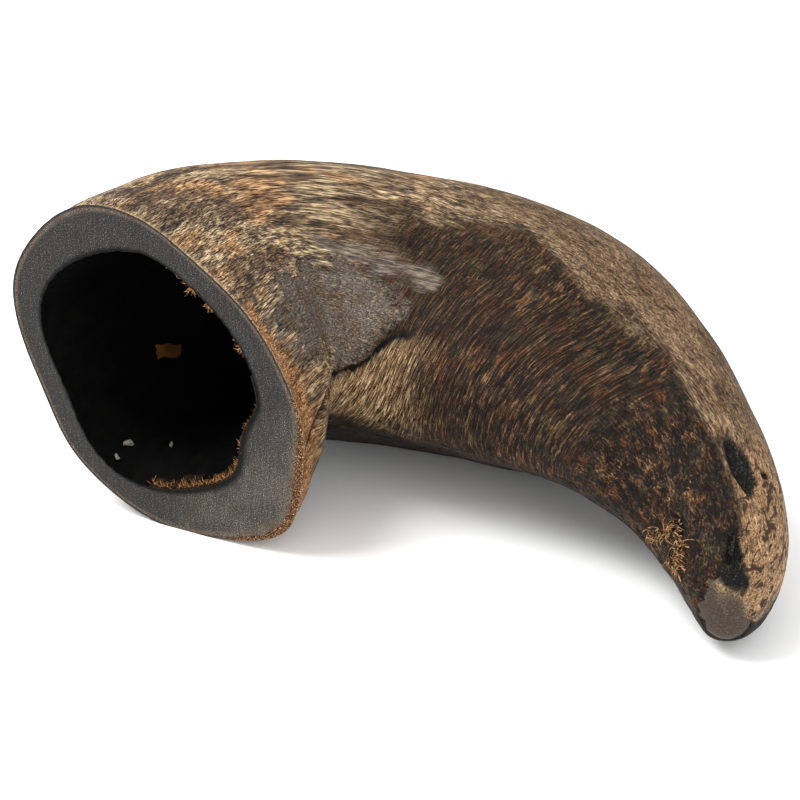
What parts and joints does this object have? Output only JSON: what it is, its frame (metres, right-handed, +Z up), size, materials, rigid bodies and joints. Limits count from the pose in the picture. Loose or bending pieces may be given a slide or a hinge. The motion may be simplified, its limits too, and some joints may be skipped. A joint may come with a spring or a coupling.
{
  "type": "raw curved horn",
  "caption": "Hollow curved horn in weathered bark, sawn flat at the wide end and solid at the blunt tip, lying on its side.",
  "frame": {"origin": "the middle of the horn's bounding box, down on the surface it rests on", "axes": "+Z up with the horn lying on its side; the sawn end is an upright plane that faces -Y; the horn curls round from +Y through +X until its tip points to -Y; X is its longest extent and Z its shortest"},
  "size_m": [0.2466, 0.1246, 0.109],
  "materials": {
    "dense_horn": "sawn and worn dark horn",
    "weathered_bark": "rough, fibrous, streaked tan and brown",
    "dried_lining": "dry amber skin",
    "frayed_fibre": "frayed orange-brown fibre",
    "pale_flake": "pale dry flake"
  },
  "bodies": {
    "root": {"horn_wall": "dense_horn", "outer_bark": "weathered_bark", "inner_lining": "dried_lining", "rim_fibres": "frayed_fibre", "rim_shreds": "frayed_fibre", "tip_tuft": "frayed_fibre", "cavity_chip": "dried_lining", "cavity_crumbs": "pale_flake"}
  },
  "joints": []
}
